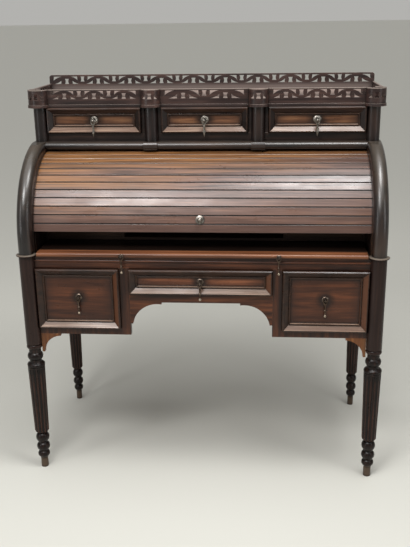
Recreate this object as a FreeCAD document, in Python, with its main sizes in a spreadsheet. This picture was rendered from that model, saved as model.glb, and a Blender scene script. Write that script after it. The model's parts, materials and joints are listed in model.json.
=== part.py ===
import FreeCAD, Part
import math
import operator
import os
from types import SimpleNamespace

import Sketcher

# A cylinder desk: four turned legs carry a drawer case, a tambour rolls in a quarter-round
# stage above it, and a row of small drawers with pierced galleries stands on top.
# Millimetres. Origin on the floor under the middle of the desk, +X right, -Y front, +Z up.

SIZES = {
    # Posts, rims and the cylinder
    "post_offset": 562,
    "post_radius": 25.5,
    "post_side_flat": 25,
    "post_back_flat": 18,
    "ring_radius": 33,
    "ring_height": 5,
    "rim_offset": 20,
    "rim_tube": 24,
    "rim_seat": 9,
    "tambour_radius": 250,
    "slat_thick": 10,
    "slat_pitch": 28,
    "slat_count": 16,
    "slat_gap": 0.9,
    "slat_chamfer": 1.6,
    "canvas_thick": 1.2,
    "tambour_lift": 5.7,
    "track_gap": 0.8,
    "track_depth": 8,
    # Carcass levels, from the floor up
    "case_bottom": 505,
    "bottom_rail": 23,
    "side_opening": 207,
    "top_rail": 38,
    "axle_rise": 51,
    "plinth_gap": 5,
    "plinth_thick": 25,
    "base_rail": 26,
    "upper_opening": 87,
    "top_thick": 9,
    # Boards and their places
    "side_thick": 20,
    "rail_thick": 20,
    "back_gap": 5,
    "back_thick": 16,
    "deck_thick": 16,
    "dust_thick": 14,
    "partition_thick": 16,
    "stile_inner": 232,
    "stile_width": 30,
    "centre_opening": 85,
    "apron_side": 105,
    "apron_middle": 30,
    "apron_cusp": 128,
    "apron_tip": 8,
    "apron_step": 7,
    "apron_round": 84,
    "bead_radius": 4,
    "bead_drop": 13,
    "bracket_reach": 66,
    "bracket_tip": 8,
    "bracket_thick": 14,
    "bracket_round": 60,
    # Writing slide
    "slide_thick": 15,
    "slide_front": 12,
    "slide_tail": 67,
    # Turned legs, from the floor up
    "peg_height": 40,
    "peg_radius": 12.5,
    "neck_radius": 15,
    "low_bulb_height": 22,
    "low_bulb_radius": 20.5,
    "mid_bulb_height": 29,
    "mid_bulb_radius": 22.5,
    "top_bulb_height": 34,
    "top_bulb_radius": 23,
    "bulb_neck": 4,
    "shaft_neck": 10,
    "shaft_height": 244,
    "shaft_foot": 24,
    "shaft_head": 28.5,
    "cap_height": 13,
    "cap_radius": 29.5,
    "cap_inset": 3,
    "collar_neck": 20,
    "low_neck": 12,
    "collar_height": 26,
    "collar_radius": 26,
    "high_neck": 14,
    "shoulder_height": 18,
    "shoulder_radius": 26,
    "flute_radius": 5,
    "flute_out": 1.5,
    "flute_start": 2,
    "flute_count": 12,
    "rear_slimming": 0.88,
    "rear_block": 40,
    # Upper case
    "upper_front": 4,
    "column_inset": 3,
    "column_radius": 22,
    "column_flat": 14,
    "pilaster_offset": 180,
    "pilaster_radius": 23.5,
    "stile_pair": 66,
    "divider_thick": 18,
    "upper_rail_thick": 18,
    "nosing_reach": 32,
    "block_radius": 20,
    "block_width": 46,
    "shelf_thick": 8,
    # Galleries
    "lobe_radius": 36,
    "drum_radius": 34,
    "fret_thick": 6,
    "top_overhang": 27,
    "gallery_inset": 1,
    "front_gallery": 50,
    "rear_gallery": 80,
    "fret_band": 26,
    "fret_rim": 5.5,
    "outer_waves": 3,
    "middle_waves": 2,
    "side_waves": 2,
    "rear_waves": 10,
    "fret_wave": 8,
    "fret_strut": 7,
    "fret_window": 8,
    "gallery_round": 9,
    # Drawers
    "drawer_gap": 1,
    "running_gap": 0.3,
    "board_thick": 10,
    "bottom_thick": 6,
    "front_back": 16,
    "moulding_proud": 16,
    "moulding_width": 28,
    "lower_tail": 55,
    "upper_tail": 15,
    "side_drawer_wall": 170,
    "centre_drawer_wall": 66,
    "upper_drawer_wall": 66,
    # Drop pulls
    "pin_radius": 1.5,
    "pin_clear": 0.05,
    "boss_radius": 4.5,
    "prong_gap": 0.8,
    "prong_thick": 2.2,
    "prong_width": 5,
    "prong_drop": 12,
    "upper_plate": 13,
    "lower_plate": 11,
    "slide_plate": 7,
    "near_reach": 10,
    "pull_clear": 2.4,
    "low_pull_rise": 5,
    "upper_drop": 54,
    "lower_drop": 52,
    "tip_radius": 4.6,
    "stem_radius": 2.6,
    "slide_pull_x": 250,
    # Inside the cylinder
    "fitment_front": 121,
    "fitment_depth": 255,
    "fitment_clear": 24.8,
    "fitment_side": 10,
    "fitment_board": 9,
    "inner_drawer_width": 252,
    "inner_drawer_height": 54,
    "inner_drawer_depth": 200,
    "inner_wall": 8,
    "inner_knob": 6,
    # Tambour knob
    "knob_plate": 14,
    "knob_ball": 7.5,
    "knob_reach": 19,
}

doc = FreeCAD.newDocument("CylinderDesk")
sheet = doc.addObject("Spreadsheet::Sheet", "Sizes")
for row, (alias, number) in enumerate(SIZES.items(), 1):
    sheet.set(f"A{row}", alias)
    sheet.set(f"B{row}", str(number))
    sheet.setAlias(f"B{row}", alias)
doc.recompute()

SIGNS = {"+": operator.add, "-": operator.sub, "*": operator.mul, "/": operator.truediv}


class Size:
    """A measure that follows the sheet: its value now, and the expression that gives it."""

    def __init__(self, value, text):
        self.value = value
        self.text = text

    def __add__(self, other):
        return joined(self, "+", other)

    def __radd__(self, other):
        return joined(other, "+", self)

    def __sub__(self, other):
        return joined(self, "-", other)

    def __rsub__(self, other):
        return joined(other, "-", self)

    def __mul__(self, other):
        return joined(self, "*", other)

    def __rmul__(self, other):
        return joined(other, "*", self)

    def __truediv__(self, other):
        return joined(self, "/", other)

    def __neg__(self):
        return joined(-1, "*", self)


def as_size(number):
    return number if isinstance(number, Size) else Size(number, repr(number))


def joined(left, sign, right):
    left, right = as_size(left), as_size(right)
    return Size(SIGNS[sign](left.value, right.value), f"({left.text} {sign} {right.text})")


def root(size):
    return Size(math.sqrt(size.value), f"sqrt({size.text})")


def sine(angle):
    return Size(math.sin(math.radians(angle.value)), f"sin({angle.text})")


def cosine(angle):
    return Size(math.cos(math.radians(angle.value)), f"cos({angle.text})")


def arcsine(ratio):
    return Size(math.degrees(math.asin(ratio.value)), f"(asin({ratio.text}) / 1 deg)")


def leg_of(slant, side):
    """The other short side of a right triangle."""
    return root(slant * slant - side * side)


S = SimpleNamespace(**{alias: Size(number, f"Sizes.{alias}") for alias, number in SIZES.items()})
ZERO = as_size(0)
NODES = []


def span(side, near, far):
    """Two places on the left or right half of the desk, the lower one first."""
    ends = [side * as_size(near), side * as_size(far)]
    return sorted(ends, key=lambda end: end.value)


def put(item, x=ZERO, y=ZERO, z=ZERO):
    for axis, place in zip("xyz", (x, y, z)):
        item.setExpression(f"Placement.Base.{axis}", as_size(place).text)
    return item


def board(x, y, z):
    """A rectangular board between two places on each axis."""
    box = doc.addObject("Part::Box", "Board")
    for side, (low, high) in zip(("Length", "Width", "Height"), (x, y, z)):
        box.setExpression(side, (as_size(high) - low).text)
    return put(box, x[0], y[0], z[0])


def node(label, *pieces):
    """Gives one sub-part its name; several solids that belong together form one group."""
    item = pieces[0]
    if len(pieces) > 1:
        item = doc.addObject("Part::Compound", "Group")
        item.Links = list(pieces)
    item.Label = label
    NODES.append(item)
    return item


def new_body():
    return doc.addObject("PartDesign::Body", "Body")


def origin_part(body, role):
    return next(item for item in body.Origin.OriginFeatures if item.Role == role)


def arc_middle(start, end, radius, turn):
    """The middle point of the short arc between two corners; turn is 1 for anticlockwise."""
    chord = end - start
    left = FreeCAD.Vector(-chord.y, chord.x, 0).normalize()
    rise = math.sqrt(max(radius**2 - (chord.Length / 2) ** 2, 0))
    return (start + end) * 0.5 + left * turn * (rise - radius)


def draw(body, plane, *loops, lift=None):
    """A sketch of closed outlines whose corners and arc radii follow the sheet.

    A corner is (u, v), or (u, v, radius, turn) when an arc leads on to the next corner.
    """
    sketch = body.newObject("Sketcher::SketchObject", "Sketch")
    sketch.AttachmentSupport = (origin_part(body, plane), "")
    sketch.MapMode = "FlatFace"
    if lift is not None:
        sketch.setExpression("AttachmentOffset.Base.z", lift.text)
    for loop in loops:
        add_loop(sketch, loop)
    return sketch


def add_loop(sketch, loop):
    corners = [(as_size(corner[0]), as_size(corner[1]), *corner[2:]) for corner in loop]
    points = [FreeCAD.Vector(corner[0].value, corner[1].value, 0) for corner in corners]
    first = sketch.GeometryCount
    starts, ends = [], []
    for index, corner in enumerate(corners):
        start, end = points[index], points[(index + 1) % len(points)]
        turn = 1
        if len(corner) > 2:
            turn = corner[3]
            edge = Part.Arc(start, arc_middle(start, end, corner[2].value, turn), end)
        else:
            edge = Part.LineSegment(start, end)
        sketch.addGeometry(edge, False)
        starts.append(1 if turn > 0 else 2)
        ends.append(2 if turn > 0 else 1)
    for index, corner in enumerate(corners):
        edge = first + index
        after = (index + 1) % len(corners)
        joint = ("Coincident", edge, ends[index], first + after, starts[after])
        sketch.addConstraint(Sketcher.Constraint(*joint))
        for kind, place in zip(("DistanceX", "DistanceY"), corner):
            tie = Sketcher.Constraint(kind, -1, 1, edge, starts[index], place.value)
            tied = sketch.addConstraint(tie)
            sketch.setExpression(f"Constraints[{tied}]", place.text)
        if len(corner) > 2:
            tied = sketch.addConstraint(Sketcher.Constraint("Radius", edge, corner[2].value))
            sketch.setExpression(f"Constraints[{tied}]", corner[2].text)


def draw_circle(body, plane, u, v, radius, lift):
    sketch = draw(body, plane, lift=lift)
    centre = FreeCAD.Vector(u.value, v.value, 0)
    sketch.addGeometry(Part.Circle(centre, FreeCAD.Vector(0, 0, 1), radius.value), False)
    ties = [("DistanceX", -1, 1, 0, 3, u), ("DistanceY", -1, 1, 0, 3, v), ("Radius", 0, radius)]
    for *tie, place in ties:
        tied = sketch.addConstraint(Sketcher.Constraint(*tie, place.value))
        sketch.setExpression(f"Constraints[{tied}]", place.text)
    return sketch


def feature(body, kind, profile, length=None, backwards=False):
    """A pad, pocket, revolution or loft of one sketch, added to the body."""
    item = body.newObject(f"PartDesign::{kind}", kind)
    item.Profile = profile
    if length is not None:
        item.setExpression("Length", as_size(length).text)
    item.Reversed = backwards
    return item


def turned(body, plane, axis, outline):
    """A solid of revolution about the vertical or horizontal axis of its sketch."""
    sketch = draw(body, plane, outline)
    item = body.newObject("PartDesign::Revolution", "Turning")
    item.Profile = sketch
    item.ReferenceAxis = (sketch, [axis])
    item.Angle = 360
    return item


def extruded(plane, length, *loops, backwards=False):
    body = new_body()
    feature(body, "Pad", draw(body, plane, *loops), length, backwards)
    return body


def rectangle(low_u, low_v, high_u, high_v):
    return [(low_u, low_v), (high_u, low_v), (high_u, high_v), (low_u, high_v)]


# Levels and planes that several pieces share
rim_radius = S.tambour_radius + S.rim_offset
cylinder_y = (rim_radius + S.ring_radius - S.tambour_radius - S.back_gap - S.back_thick) / 2
post_y = cylinder_y - rim_radius
back_inner = cylinder_y + S.tambour_radius + S.back_gap
back_outer = back_inner + S.back_thick
rail_back = post_y + S.rail_thick
opening_bottom = S.case_bottom + S.bottom_rail
opening_top = opening_bottom + S.side_opening
case_top = opening_top + S.top_rail
deck_bottom = case_top - S.deck_thick
axle_z = case_top + S.axle_rise
end_radius = rim_radius - S.rim_seat
end_front = cylinder_y - end_radius
ring_top = case_top + S.ring_height * 2
plinth_bottom = axle_z + S.tambour_radius + S.plinth_gap
plinth_top = plinth_bottom + S.plinth_thick
upper_bottom = plinth_top + S.base_rail
upper_top = upper_bottom + S.upper_opening
roof_top = upper_top + S.top_thick
upper_y = cylinder_y + S.upper_front
upper_inner = upper_y + S.upper_rail_thick
column_back = upper_y + S.column_flat
centre_bottom = opening_top - S.centre_opening
stile_outer = S.stile_inner + S.stile_width
post_inner = S.post_offset - S.post_side_flat
column_inner = S.post_offset - S.column_inset - S.column_radius
side_inner = S.post_offset - S.rim_tube
side_outer = side_inner + S.side_thick
fit_end = side_inner - S.fitment_side
slide_half = fit_end - S.drawer_gap
rear_leg_y = back_outer - S.cap_radius * S.rear_slimming


def bead_steps(base, height, radius, neck):
    """One round member of a turning: out from the neck, round its crown and back to the neck."""
    half = height / 2
    rise = radius - neck
    curve = (half * half + rise * rise) / (2 * rise)
    return [(neck, base, curve, 1), (radius, base + half, curve, 1), (neck, base + height)]


def leg_outline(slim):
    """The turned half-profile up to the shoulder: peg, three bulbs, tapered shaft, cap, collar."""
    steps = [(ZERO, ZERO), (S.peg_radius * slim, ZERO), (S.peg_radius * slim, S.peg_height)]
    level = S.peg_height
    neck = S.neck_radius * slim
    bulbs = [
        (S.low_bulb_height, S.low_bulb_radius),
        (S.mid_bulb_height, S.mid_bulb_radius),
        (S.top_bulb_height, S.top_bulb_radius),
    ]
    for height, radius in bulbs:
        steps += bead_steps(level, height, radius * slim, neck)
        level = level + height + S.bulb_neck
    level = level - S.bulb_neck + S.shaft_neck
    steps.append((neck + (S.shaft_foot * slim - neck) / 2, level - S.shaft_neck / 2))
    shaft_bottom = level
    steps.append((S.shaft_foot * slim, level))
    level = level + S.shaft_height
    steps.append((S.shaft_head * slim, level))
    collar_neck = S.collar_neck * slim
    cap_neck = S.shaft_head * slim - S.cap_inset
    steps += bead_steps(level, S.cap_height, S.cap_radius * slim, cap_neck)
    level = level + S.cap_height
    steps.append((collar_neck, level + S.low_neck / 3))
    level = level + S.low_neck
    steps += bead_steps(level, S.collar_height, S.collar_radius * slim, collar_neck)
    level = level + S.collar_height + S.high_neck
    steps += bead_steps(level, S.shoulder_height, S.shoulder_radius * slim, collar_neck)
    return steps, shaft_bottom, level + S.shoulder_height


def cut_flutes(body, shaft_bottom, slim):
    """Tapered flutes round the shaft, cut from its chamfered foot to just under the cap."""
    reach = S.flute_out
    top = shaft_bottom + S.shaft_height - S.flute_radius
    low = shaft_bottom - S.flute_start
    foot = draw_circle(body, "XY_Plane", S.shaft_foot * slim + reach, ZERO, S.flute_radius * slim, low)
    head = draw_circle(body, "XY_Plane", S.shaft_head * slim + reach, ZERO, S.flute_radius, top)
    flute = body.newObject("PartDesign::SubtractiveLoft", "Flute")
    flute.Profile = foot
    flute.Sections = [head]
    flute.Ruled = True
    pattern = body.newObject("PartDesign::PolarPattern", "Flutes")
    pattern.Originals = [flute]
    pattern.Axis = (foot, ["N_Axis"])
    pattern.Angle = 360
    pattern.setExpression("Occurrences", S.flute_count.text)
    body.Tip = pattern


def front_leg(side):
    """A front leg turned in one piece with its post and waist ring, notched for the case."""
    body = new_body()
    steps, shaft_bottom, shoulder_top = leg_outline(as_size(1))
    top = ring_top - S.ring_height
    steps += [(S.post_radius, shoulder_top), (S.post_radius, top), (S.ring_radius, top)]
    edge = S.ring_height / 2
    steps += [(S.ring_radius, top + edge), (S.post_radius, ring_top), (ZERO, ring_top)]
    turned(body, "XZ_Plane", "V_Axis", steps)
    cut_flutes(body, shaft_bottom, as_size(1))
    reach = S.ring_radius + 1
    inner, outer = span(-side, S.post_side_flat, reach)
    low, high = span(1, S.post_back_flat, reach)
    notch = draw(
        body,
        "XY_Plane",
        rectangle(inner, -reach, outer, reach),
        lift=S.case_bottom,
    )
    feature(body, "Pocket", notch, case_top - S.case_bottom, True)
    back = draw(body, "XY_Plane", rectangle(-reach, low, reach, high), lift=S.case_bottom)
    feature(body, "Pocket", back, case_top - S.case_bottom, True)
    seat = draw(body, "XY_Plane", rectangle(-reach, S.rim_seat, reach, reach), lift=case_top)
    feature(body, "Pocket", seat, S.ring_height * 3, True)
    return put(body, side * S.post_offset, post_y)


def rear_leg(side):
    """A slimmer rear leg, fluted alike, with a square block that joins side and back."""
    body = new_body()
    slim = S.rear_slimming
    steps, shaft_bottom, shoulder_top = leg_outline(slim)
    turned(body, "XZ_Plane", "V_Axis", steps + [(ZERO, shoulder_top)])
    cut_flutes(body, shaft_bottom, slim)
    half = S.rear_block / 2
    block = draw(body, "XY_Plane", rectangle(-half, -half, half, half), lift=shoulder_top)
    feature(body, "Pad", block, case_top - shoulder_top)
    return put(body, side * (side_inner + half), rear_leg_y)


node("front_legs", front_leg(-1), front_leg(1))
node("rear_legs", rear_leg(-1), rear_leg(1))

# Drawer case
side_y = (post_y + S.post_back_flat, rear_leg_y - S.rear_block / 2)
case_z = (S.case_bottom, case_top)
node("case_sides", *[board(span(side, side_inner, side_outer), side_y, case_z) for side in (-1, 1)])
node("case_back", board((-side_inner, side_inner), (back_inner, back_outer), case_z))


def frieze_rail():
    """The rail over the drawers with a half-round bead worked along its face."""
    bead = case_top - S.bead_drop
    radius = S.bead_radius
    outline = [
        (post_y, opening_top),
        (rail_back, opening_top),
        (rail_back, case_top),
        (post_y, case_top),
        (post_y, bead + radius, radius, 1),
        (post_y - radius, bead, radius, 1),
        (post_y, bead - radius),
    ]
    return put(extruded("YZ_Plane", post_inner * 2, outline), -post_inner)


node("frieze_rail", frieze_rail())
rail_y = (post_y, rail_back)
frame_boards = []
for half in (-1, 1):
    stile_x = span(half, S.stile_inner, stile_outer)
    frame_boards.append(board(stile_x, rail_y, (S.case_bottom, opening_top)))
    rail_x = span(half, stile_outer, post_inner)
    frame_boards.append(board(rail_x, rail_y, (S.case_bottom, opening_bottom)))
node("drawer_frame", *frame_boards)

inner_y = (rail_back, back_inner)
partition_x = (stile_outer - S.partition_thick, stile_outer)
partition_z = (S.case_bottom, deck_bottom)
node("kneehole_partitions", *[board(span(side, *partition_x), inner_y, partition_z) for side in (-1, 1)])


def kneehole_apron():
    """The shaped apron: a flat arch with a small cusp and a hollow round at each end."""
    side_low = centre_bottom - S.apron_side
    middle = centre_bottom - S.apron_middle
    tip = S.stile_inner - S.apron_tip
    cusp = S.apron_cusp
    outline = [
        (-S.stile_inner, centre_bottom),
        (-S.stile_inner, side_low),
        (-tip, side_low, S.apron_round, -1),
        (-cusp, middle - S.apron_step),
        (-cusp, middle),
        (cusp, middle),
        (cusp, middle - S.apron_step, S.apron_round, -1),
        (tip, side_low),
        (S.stile_inner, side_low),
        (S.stile_inner, centre_bottom),
    ]
    return put(extruded("XZ_Plane", S.rail_thick, outline), y=rail_back)


node("kneehole_apron", kneehole_apron())

dust_boards = [
    board(span(side, stile_outer, side_inner), inner_y, (opening_bottom - S.dust_thick, opening_bottom))
    for side in (-1, 1)
]
centre_x = (-partition_x[0], partition_x[0])
dust_boards.append(board(centre_x, inner_y, (centre_bottom - S.dust_thick, centre_bottom)))
node("drawer_bearers", *dust_boards)
node("case_deck", board((-side_inner, side_inner), inner_y, (deck_bottom, case_top)))


def leg_bracket(side):
    """A small hollow-cut bracket under the bottom rail, against the leg."""
    against = S.post_offset - S.shoulder_radius
    outer = side * against
    tip = side * (against - S.bracket_tip)
    inner = side * (against - S.bracket_reach)
    low = S.case_bottom - S.bracket_reach
    outline = [
        (outer, S.case_bottom),
        (outer, low),
        (tip, low, S.bracket_round, side),
        (inner, S.case_bottom - S.bracket_tip),
        (inner, S.case_bottom),
    ]
    return put(extruded("XZ_Plane", S.bracket_thick, outline), y=post_y + S.bracket_thick)


node("leg_brackets", leg_bracket(-1), leg_bracket(1))

# Writing slide
slide_low = case_top + S.running_gap
slide_high = slide_low + S.slide_thick
slide_front = post_y - S.slide_front
slide_back = back_inner - S.slide_tail


def writing_slide():
    """The pull-out writing board with a rounded front edge."""
    radius = S.slide_thick / 2
    outline = [
        (slide_back, slide_low),
        (slide_back, slide_high),
        (slide_front + radius, slide_high, radius, 1),
        (slide_front, slide_low + radius, radius, 1),
        (slide_front + radius, slide_low),
    ]
    return put(extruded("YZ_Plane", slide_half * 2, outline), -slide_half)


node("writing_slide", writing_slide())


# Cylinder stage
def cylinder_end(side):
    """An end board: quarter-round at the front, full height behind, grooved for the slats."""
    shoulder = axle_z + leg_of(end_radius, column_back - cylinder_y)
    outline = [
        (end_front, case_top),
        (back_inner, case_top),
        (back_inner, upper_top),
        (column_back, upper_top),
        (column_back, shoulder, end_radius, 1),
        (cylinder_y - end_radius * math.sqrt(0.5), axle_z + end_radius * math.sqrt(0.5), end_radius, 1),
        (end_front, axle_z),
    ]
    body = extruded("YZ_Plane", S.side_thick, outline)
    outer = slat_outer + S.track_gap
    inner = slat_inner - S.canvas_thick - S.track_gap
    turn = math.sqrt(0.5)
    low = case_top + S.running_gap
    drop = axle_z - low
    track = [
        (cylinder_y - leg_of(outer, drop), low, outer, -1),
        (cylinder_y - outer * turn, axle_z + outer * turn, outer, -1),
        (cylinder_y + outer * turn, axle_z + outer * turn, outer, -1),
        (cylinder_y + leg_of(outer, drop), low),
        (cylinder_y + leg_of(inner, drop), low, inner, 1),
        (cylinder_y + inner * turn, axle_z + inner * turn, inner, 1),
        (cylinder_y - inner * turn, axle_z + inner * turn, inner, 1),
        (cylinder_y - leg_of(inner, drop), low),
    ]
    lift = S.track_depth if side > 0 else S.side_thick - S.track_depth
    groove = draw(body, "YZ_Plane", track, lift=lift)
    feature(body, "Pocket", groove, S.track_depth, side < 0)
    return put(body, side_inner if side > 0 else -side_outer)


# Slats are flat, so their outer corners stand a little further out than their faces.
slat_angle = S.slat_pitch / S.tambour_radius * (180 / math.pi)
slat_inner = (S.tambour_radius - S.slat_thick) * cosine(slat_angle / 2)
slat_outer = S.tambour_radius
node("cylinder_ends", cylinder_end(-1), cylinder_end(1))


def cylinder_rim(side):
    """The ebonised round rim: upright from the ring, then a quarter turn back to the column."""
    body = new_body()
    tube, seat = S.rim_tube, S.rim_seat
    half = leg_of(tube, seat)
    middle = -rim_radius
    section = [
        (-half, middle + seat, tube, 1),
        (-tube, middle, tube, 1),
        (ZERO, middle - tube, tube, 1),
        (tube, middle, tube, 1),
        (half, middle + seat),
    ]
    sketch = draw(body, "XY_Plane", section)
    arc = body.newObject("PartDesign::Revolution", "Bend")
    arc.Profile = sketch
    arc.ReferenceAxis = (sketch, ["H_Axis"])
    over = arcsine((column_back - cylinder_y) / (rim_radius + tube))
    arc.setExpression("Angle", (90 + over).text)
    arc.Reversed = True
    upright = draw(body, "XY_Plane", section)
    feature(body, "Pad", upright, axle_z - ring_top, True)
    reach = rim_radius * 2
    level = draw(body, "XY_Plane", rectangle(-reach, -reach, reach, reach), lift=plinth_top - axle_z)
    feature(body, "Pocket", level, rim_radius, True)
    return put(body, side * S.post_offset, cylinder_y, axle_z)


node("cylinder_rims", cylinder_rim(-1), cylinder_rim(1))
stage_z = (case_top, upper_top)
node("stage_back", board((-side_outer, side_outer), (back_inner, back_outer), stage_z))


def on_cylinder(x, radius, degrees):
    """A point about the axle: degrees from the front, rising over the top."""
    turn = math.radians(degrees)
    return FreeCAD.Vector(x, -radius * math.cos(turn), radius * math.sin(turn))


def tambour_shapes():
    """The slats, each a flat bar with its two outer edges eased, and the canvas that joins them."""
    angle = slat_angle.value
    apothem = math.cos(math.radians(angle / 2))
    outer_face = sheet.tambour_radius * apothem
    inner_face = outer_face - sheet.slat_thick
    half_outer = outer_face * math.tan(math.radians(angle / 2)) - sheet.slat_gap / 2
    half_inner = inner_face * math.tan(math.radians(angle / 2)) - sheet.slat_gap / 2
    ease = sheet.slat_chamfer
    half_length = side_inner.value + sheet.track_depth - sheet.slat_gap
    along = FreeCAD.Vector(2 * half_length, 0, 0)
    profile = [
        (-half_inner, inner_face),
        (half_inner, inner_face),
        (half_outer, outer_face - ease),
        (half_outer - ease, outer_face),
        (ease - half_outer, outer_face),
        (-half_outer, outer_face - ease),
    ]
    corners = [FreeCAD.Vector(-half_length, -out, up) for up, out in profile]
    slat = Part.Face(Part.makePolygon(corners + corners[:1])).extrude(along)
    slats = []
    axis = FreeCAD.Vector(1, 0, 0)
    for index in range(int(sheet.slat_count)):
        turned_slat = slat.copy()
        turned_slat.rotate(FreeCAD.Vector(), axis, -(sheet.tambour_lift + (index + 0.5) * angle))
        slats.append(turned_slat)
    back = inner_face / apothem
    front = back - sheet.canvas_thick
    edge = side_inner.value - sheet.slat_thick
    middles = [sheet.tambour_lift + (index + 0.5) * angle for index in range(int(sheet.slat_count))]
    bends = [(apothem, middles[0])]
    bends += [(1, middle + angle / 2) for middle in middles[:-1]]
    bends.append((apothem, middles[-1]))
    outside = [on_cylinder(-edge, back * share, stop) for share, stop in bends]
    inside = [on_cylinder(-edge, front * share, stop) for share, stop in bends]
    loop = outside + inside[::-1]
    canvas = Part.Face(Part.makePolygon(loop + loop[:1])).extrude(FreeCAD.Vector(2 * edge, 0, 0))
    return Part.makeCompound(slats), canvas


for label, shape in zip(("tambour_slats", "tambour_canvas"), tambour_shapes()):
    roll = doc.addObject("Part::Feature", "Roll")
    roll.Shape = shape
    node(label, put(roll, ZERO, cylinder_y, axle_z))


def turned_knob(plate, neck, ball, reach):
    """A small knob on a round plate, its axis along Z."""
    body = new_body()
    outline = [
        (ZERO, ZERO),
        (plate, ZERO),
        (plate, plate / 8),
        (neck * 1.6, plate / 4),
        (neck, reach - ball - leg_of(ball, neck), ball, 1),
        (ball, reach - ball, ball, 1),
        (ZERO, reach),
    ]
    turned(body, "XZ_Plane", "V_Axis", outline)
    return body


knob_angle = S.tambour_lift + slat_angle * 1.5
knob_seat = S.tambour_radius * cosine(slat_angle / 2)
tambour_knob = turned_knob(S.knob_plate, S.knob_ball / 2, S.knob_ball, S.knob_reach)
tambour_knob.Placement.Rotation = FreeCAD.Rotation(FreeCAD.Vector(1, 0, 0), 90 - knob_angle.value)
tambour_knob.setExpression("Placement.Rotation.Angle", (90 - knob_angle).text)
put(
    tambour_knob,
    ZERO,
    cylinder_y - knob_seat * cosine(knob_angle),
    axle_z + knob_seat * sine(knob_angle),
)
node("tambour_knob", tambour_knob)

# Fitment inside the cylinder: ends that guide the slide, open pigeonholes and two small drawers
fit_front = cylinder_y - S.fitment_front
fit_back = fit_front + S.fitment_depth
fit_y = (fit_front, fit_back)
fit_floor = slide_high + S.drawer_gap
fit_shelf = fit_floor + S.fitment_board + S.inner_drawer_height
fit_reach = slat_inner - S.canvas_thick - S.fitment_clear
fit_top = axle_z + leg_of(fit_reach, S.fitment_front)
fit_boards = [board(span(side, fit_end, side_inner), fit_y, (case_top, fit_top)) for side in (-1, 1)]
wide = (-fit_end, fit_end)
for level in (fit_floor, fit_shelf, fit_top - S.fitment_board):
    fit_boards.append(board(wide, fit_y, (level, level + S.fitment_board)))
drawer_wall = fit_end - S.inner_drawer_width - S.fitment_board
for side in (-1, 1):
    wall_x = span(side, drawer_wall, drawer_wall + S.fitment_board)
    for bay in ((fit_floor, fit_shelf), (fit_shelf, fit_top - S.fitment_board)):
        fit_boards.append(board(wall_x, fit_y, (bay[0] + S.fitment_board, bay[1])))
node("fitment_boards", *fit_boards)


def box_boards(x, y, z, wall, bottom):
    """The open box of a drawer: two sides, a back between them and a bottom inside the three."""
    left = (x[0], x[0] + wall)
    right = (x[1] - wall, x[1])
    between = (left[1], right[0])
    return [
        board(left, y, z),
        board(right, y, z),
        board(between, (y[1] - wall, y[1]), z),
        board(between, (y[0], y[1] - wall), (z[0], z[0] + bottom)),
    ]


for side, name in ((-1, "left"), (1, "right")):
    bay_x = span(side, drawer_wall + S.fitment_board + S.drawer_gap, fit_end - S.drawer_gap)
    floor = fit_floor + S.fitment_board + S.running_gap
    bay_z = (floor, fit_shelf - S.drawer_gap)
    face_y = (fit_front, fit_front + S.inner_wall)
    box_y = (face_y[1], face_y[1] + S.inner_drawer_depth)
    front = board(bay_x, face_y, bay_z)
    walls = box_boards(bay_x, box_y, (floor, bay_z[1] - S.inner_wall), S.inner_wall, S.inner_wall / 2)
    node(f"inner_drawer_{name}", front, *walls)
    pull = turned_knob(S.inner_knob, S.inner_knob / 2, S.inner_knob * 0.8, S.inner_knob * 2.2)
    pull.Placement.Rotation = FreeCAD.Rotation(FreeCAD.Vector(1, 0, 0), 90)
    put(pull, (bay_x[0] + bay_x[1]) / 2, fit_front, (bay_z[0] + bay_z[1]) / 2)
    node(f"inner_knob_{name}", pull)


# Upper case
def upper_plinth():
    """The board under the small drawers: a half-round nosing that breaks out below each pilaster."""
    body = new_body()
    radius = S.plinth_thick / 2
    middle = plinth_bottom + radius
    edge = upper_y - S.nosing_reach
    outline = [
        (back_inner, plinth_bottom),
        (back_inner, plinth_top),
        (edge, plinth_top, radius, 1),
        (edge - radius, middle, radius, 1),
        (edge, plinth_bottom),
    ]
    feature(body, "Pad", draw(body, "YZ_Plane", outline), side_inner * 2)
    wide = S.block_radius
    face = edge - leg_of(wide, radius)
    block = [
        (edge, plinth_bottom),
        (edge, plinth_top),
        (face, plinth_top, wide, 1),
        (edge - wide, middle, wide, 1),
        (face, plinth_bottom),
    ]
    for side in (-1, 1):
        lift = side_inner + side * S.pilaster_offset - S.block_width / 2
        feature(body, "Pad", draw(body, "YZ_Plane", block, lift=lift), S.block_width)
    return put(body, -side_inner)


node("upper_plinth", upper_plinth())

upper_rail_y = (upper_y, upper_inner)
upper_inner_y = (upper_inner, back_inner)
stile_low = S.pilaster_offset - S.stile_pair / 2
stile_high = S.pilaster_offset + S.stile_pair / 2
divider_low = S.pilaster_offset - S.divider_thick / 2
full_width = (-side_inner, side_inner)
shelf_z = (upper_bottom - S.shelf_thick, upper_bottom)
upper_boards = [
    board((-column_inner, column_inner), upper_rail_y, (plinth_top, upper_bottom)),
    board(full_width, upper_inner_y, shelf_z),
]
for side in (-1, 1):
    upper_z = (upper_bottom, upper_top)
    upper_boards.append(board(span(side, stile_low, stile_high), upper_rail_y, upper_z))
    divider_x = span(side, divider_low, divider_low + S.divider_thick)
    upper_boards.append(board(divider_x, upper_inner_y, upper_z))
node("upper_frame", *upper_boards)


def corner_column(side):
    """A round corner column, flattened at the back where it meets the end board."""
    radius, flat = S.column_radius, S.column_flat
    half = leg_of(radius, flat)
    section = [
        (-half, flat, radius, 1),
        (-radius, ZERO, radius, 1),
        (ZERO, -radius, radius, 1),
        (radius, ZERO, radius, 1),
        (half, flat),
    ]
    body = extruded("XY_Plane", upper_top - plinth_top, section)
    return put(body, side * (S.post_offset - S.column_inset), upper_y, plinth_top)


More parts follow.
